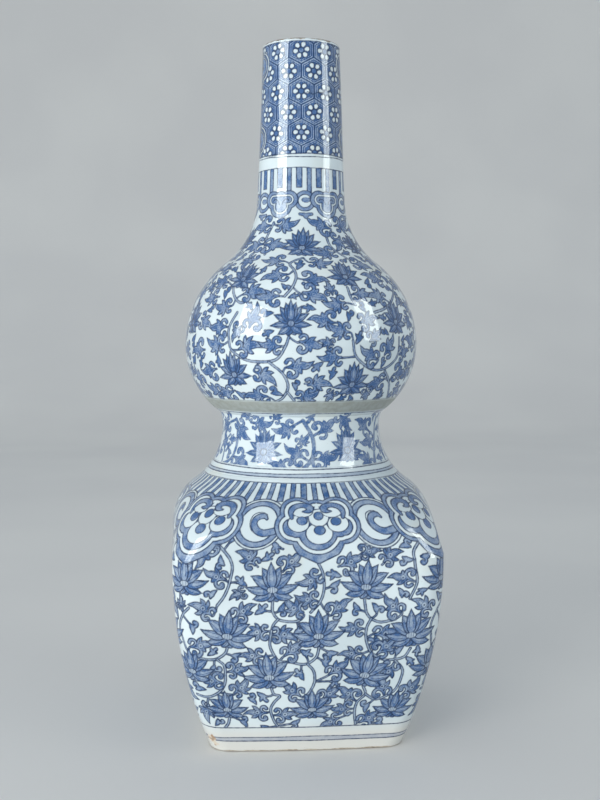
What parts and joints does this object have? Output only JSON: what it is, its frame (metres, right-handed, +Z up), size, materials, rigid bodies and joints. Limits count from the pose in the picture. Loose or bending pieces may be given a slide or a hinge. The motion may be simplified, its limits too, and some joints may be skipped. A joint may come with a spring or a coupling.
{
  "type": "double gourd vase",
  "caption": "Tall double gourd vase with a straight neck, a round bulb, a narrow waist and a square lower body, in blue and white porcelain.",
  "frame": {"origin": "centre of the footprint, on the surface that the foot rests on", "axes": "+Z up along the neck; the front face of the square body faces -Y"},
  "size_m": [0.2146, 0.2146, 0.562],
  "materials": {
    "glazed_porcelain": "clear glaze over cobalt painting, glossy",
    "foot_porcelain": "glossy glaze with a bare, worn lower edge",
    "slip_seam": "fired slip"
  },
  "bodies": {
    "root": {"foot_ring": "foot_porcelain", "base_slab": "glazed_porcelain", "wall_front": "glazed_porcelain", "wall_right": "glazed_porcelain", "wall_back": "glazed_porcelain", "wall_left": "glazed_porcelain", "shoulder_dome": "glazed_porcelain", "waist_collar": "glazed_porcelain", "bulb_lower": "glazed_porcelain", "bulb_upper": "glazed_porcelain", "neck": "glazed_porcelain", "slip_foot": "slip_seam", "slip_base": "slip_seam", "slip_corner_front_right": "slip_seam", "slip_corner_front_left": "slip_seam", "slip_corner_back_right": "slip_seam", "slip_corner_back_left": "slip_seam", "slip_shoulder": "slip_seam", "slip_waist_foot": "slip_seam", "slip_waist_top": "slip_seam", "slip_bulb": "slip_seam", "slip_neck": "slip_seam"}
  },
  "joints": []
}
